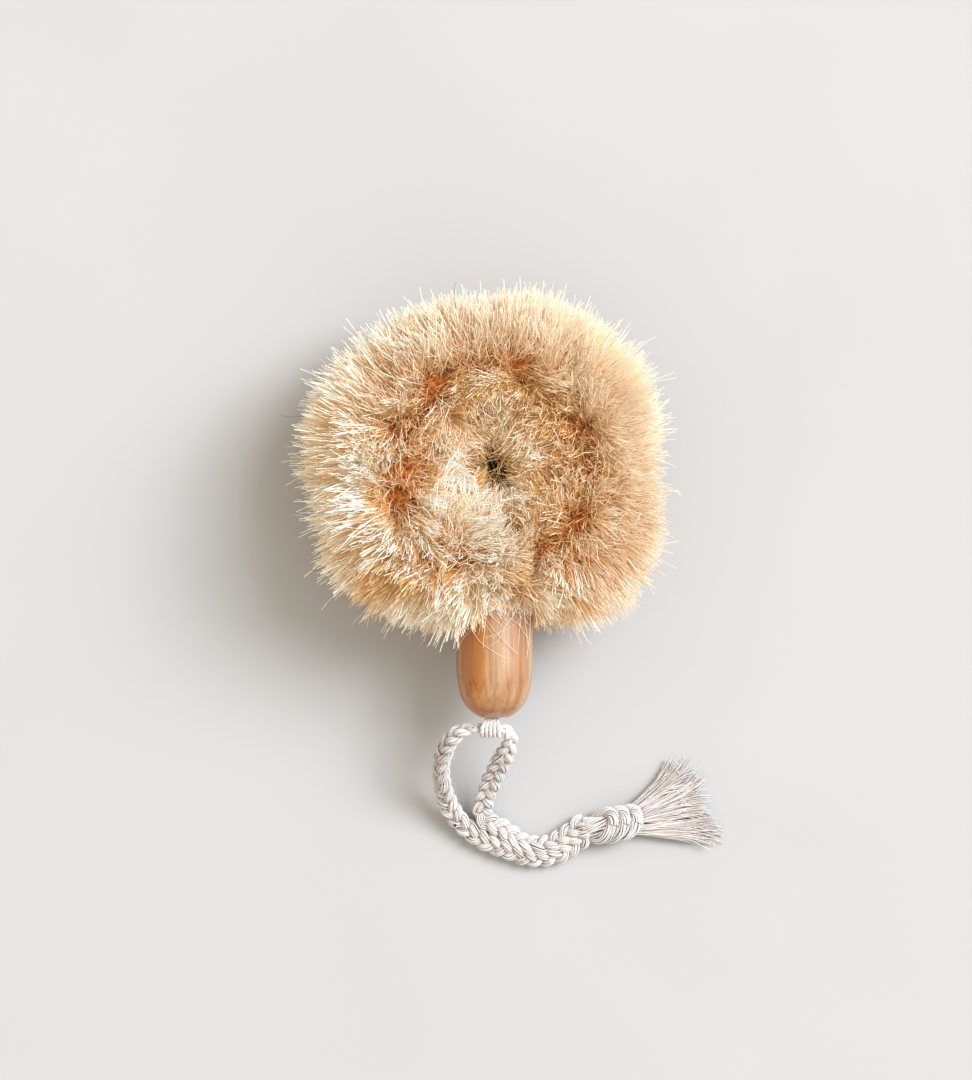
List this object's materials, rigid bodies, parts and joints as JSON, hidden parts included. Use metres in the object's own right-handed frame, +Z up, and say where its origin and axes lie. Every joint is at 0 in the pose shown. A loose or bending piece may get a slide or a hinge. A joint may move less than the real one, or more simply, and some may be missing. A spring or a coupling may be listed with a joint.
{
  "type": "body dry brush",
  "caption": "Ring-shaped plant-fibre body brush on a twisted wire core, with a short turned wooden handle and a braided cotton hanging loop ending in a knot and tassel.",
  "frame": {"origin": "centre of the bristle ring, on the plane it rests on with the bristles down", "axes": "+Z up from the resting plane, +Y from the handle towards the head, +X to the right seen from above with the head away from the viewer"},
  "size_m": [0.149, 0.2125, 0.0615],
  "materials": {
    "sisal_fibre": "coarse plant fibre, peach to straw",
    "core_wire": "galvanised",
    "handle_wood": "satin",
    "glue": "set adhesive",
    "brad_metal": "dull dark",
    "anchor_cotton": "plain cotton thread",
    "braided_cotton": "three-strand cotton braid"
  },
  "bodies": {
    "brush": {"handle": "handle_wood", "bristle_ring": "sisal_fibre", "core_wire_a": "core_wire", "core_wire_b": "core_wire", "stem_glue": "glue", "cord_brad": "brad_metal", "cord_root": "anchor_cotton"},
    "anchor": {"cord_anchor": "anchor_cotton"},
    "loop": {"cord_loop": "braided_cotton"},
    "tail": {"cord_tail_inner": "braided_cotton", "cord_tail_outer": "braided_cotton"},
    "knot": {"cord_knot": "braided_cotton"},
    "tassel": {"cord_tassel": "braided_cotton"}
  },
  "joints": [
    {"name": "anchor_swing", "type": "hinge", "parent": "brush", "child": "anchor", "pos_m": [0, -0.0895, 0.03], "axis": [0, 0, 1], "range_deg": [-5, 22]},
    {"name": "loop_lift", "type": "hinge", "parent": "anchor", "child": "loop", "pos_m": [-0.0015, -0.0946, 0.03], "axis": [-1, 0, 0], "range_deg": [-50, 90]},
    {"name": "tail_swing", "type": "hinge", "parent": "loop", "child": "tail", "pos_m": [0.0026, -0.1358, 0.0034], "axis": [0, 0, 1], "range_deg": [-45, 40]},
    {"name": "knot_lift", "type": "hinge", "parent": "tail", "child": "knot", "pos_m": [0.0342, -0.132, 0.0044], "axis": [0.4392, -0.8984, 0], "range_deg": [-45, 60]},
    {"name": "tassel_bend", "type": "hinge", "parent": "knot", "child": "tassel", "pos_m": [0.053, -0.1298, 0.0046], "axis": [0, 0, 1], "range_deg": [-28, 25]}
  ]
}
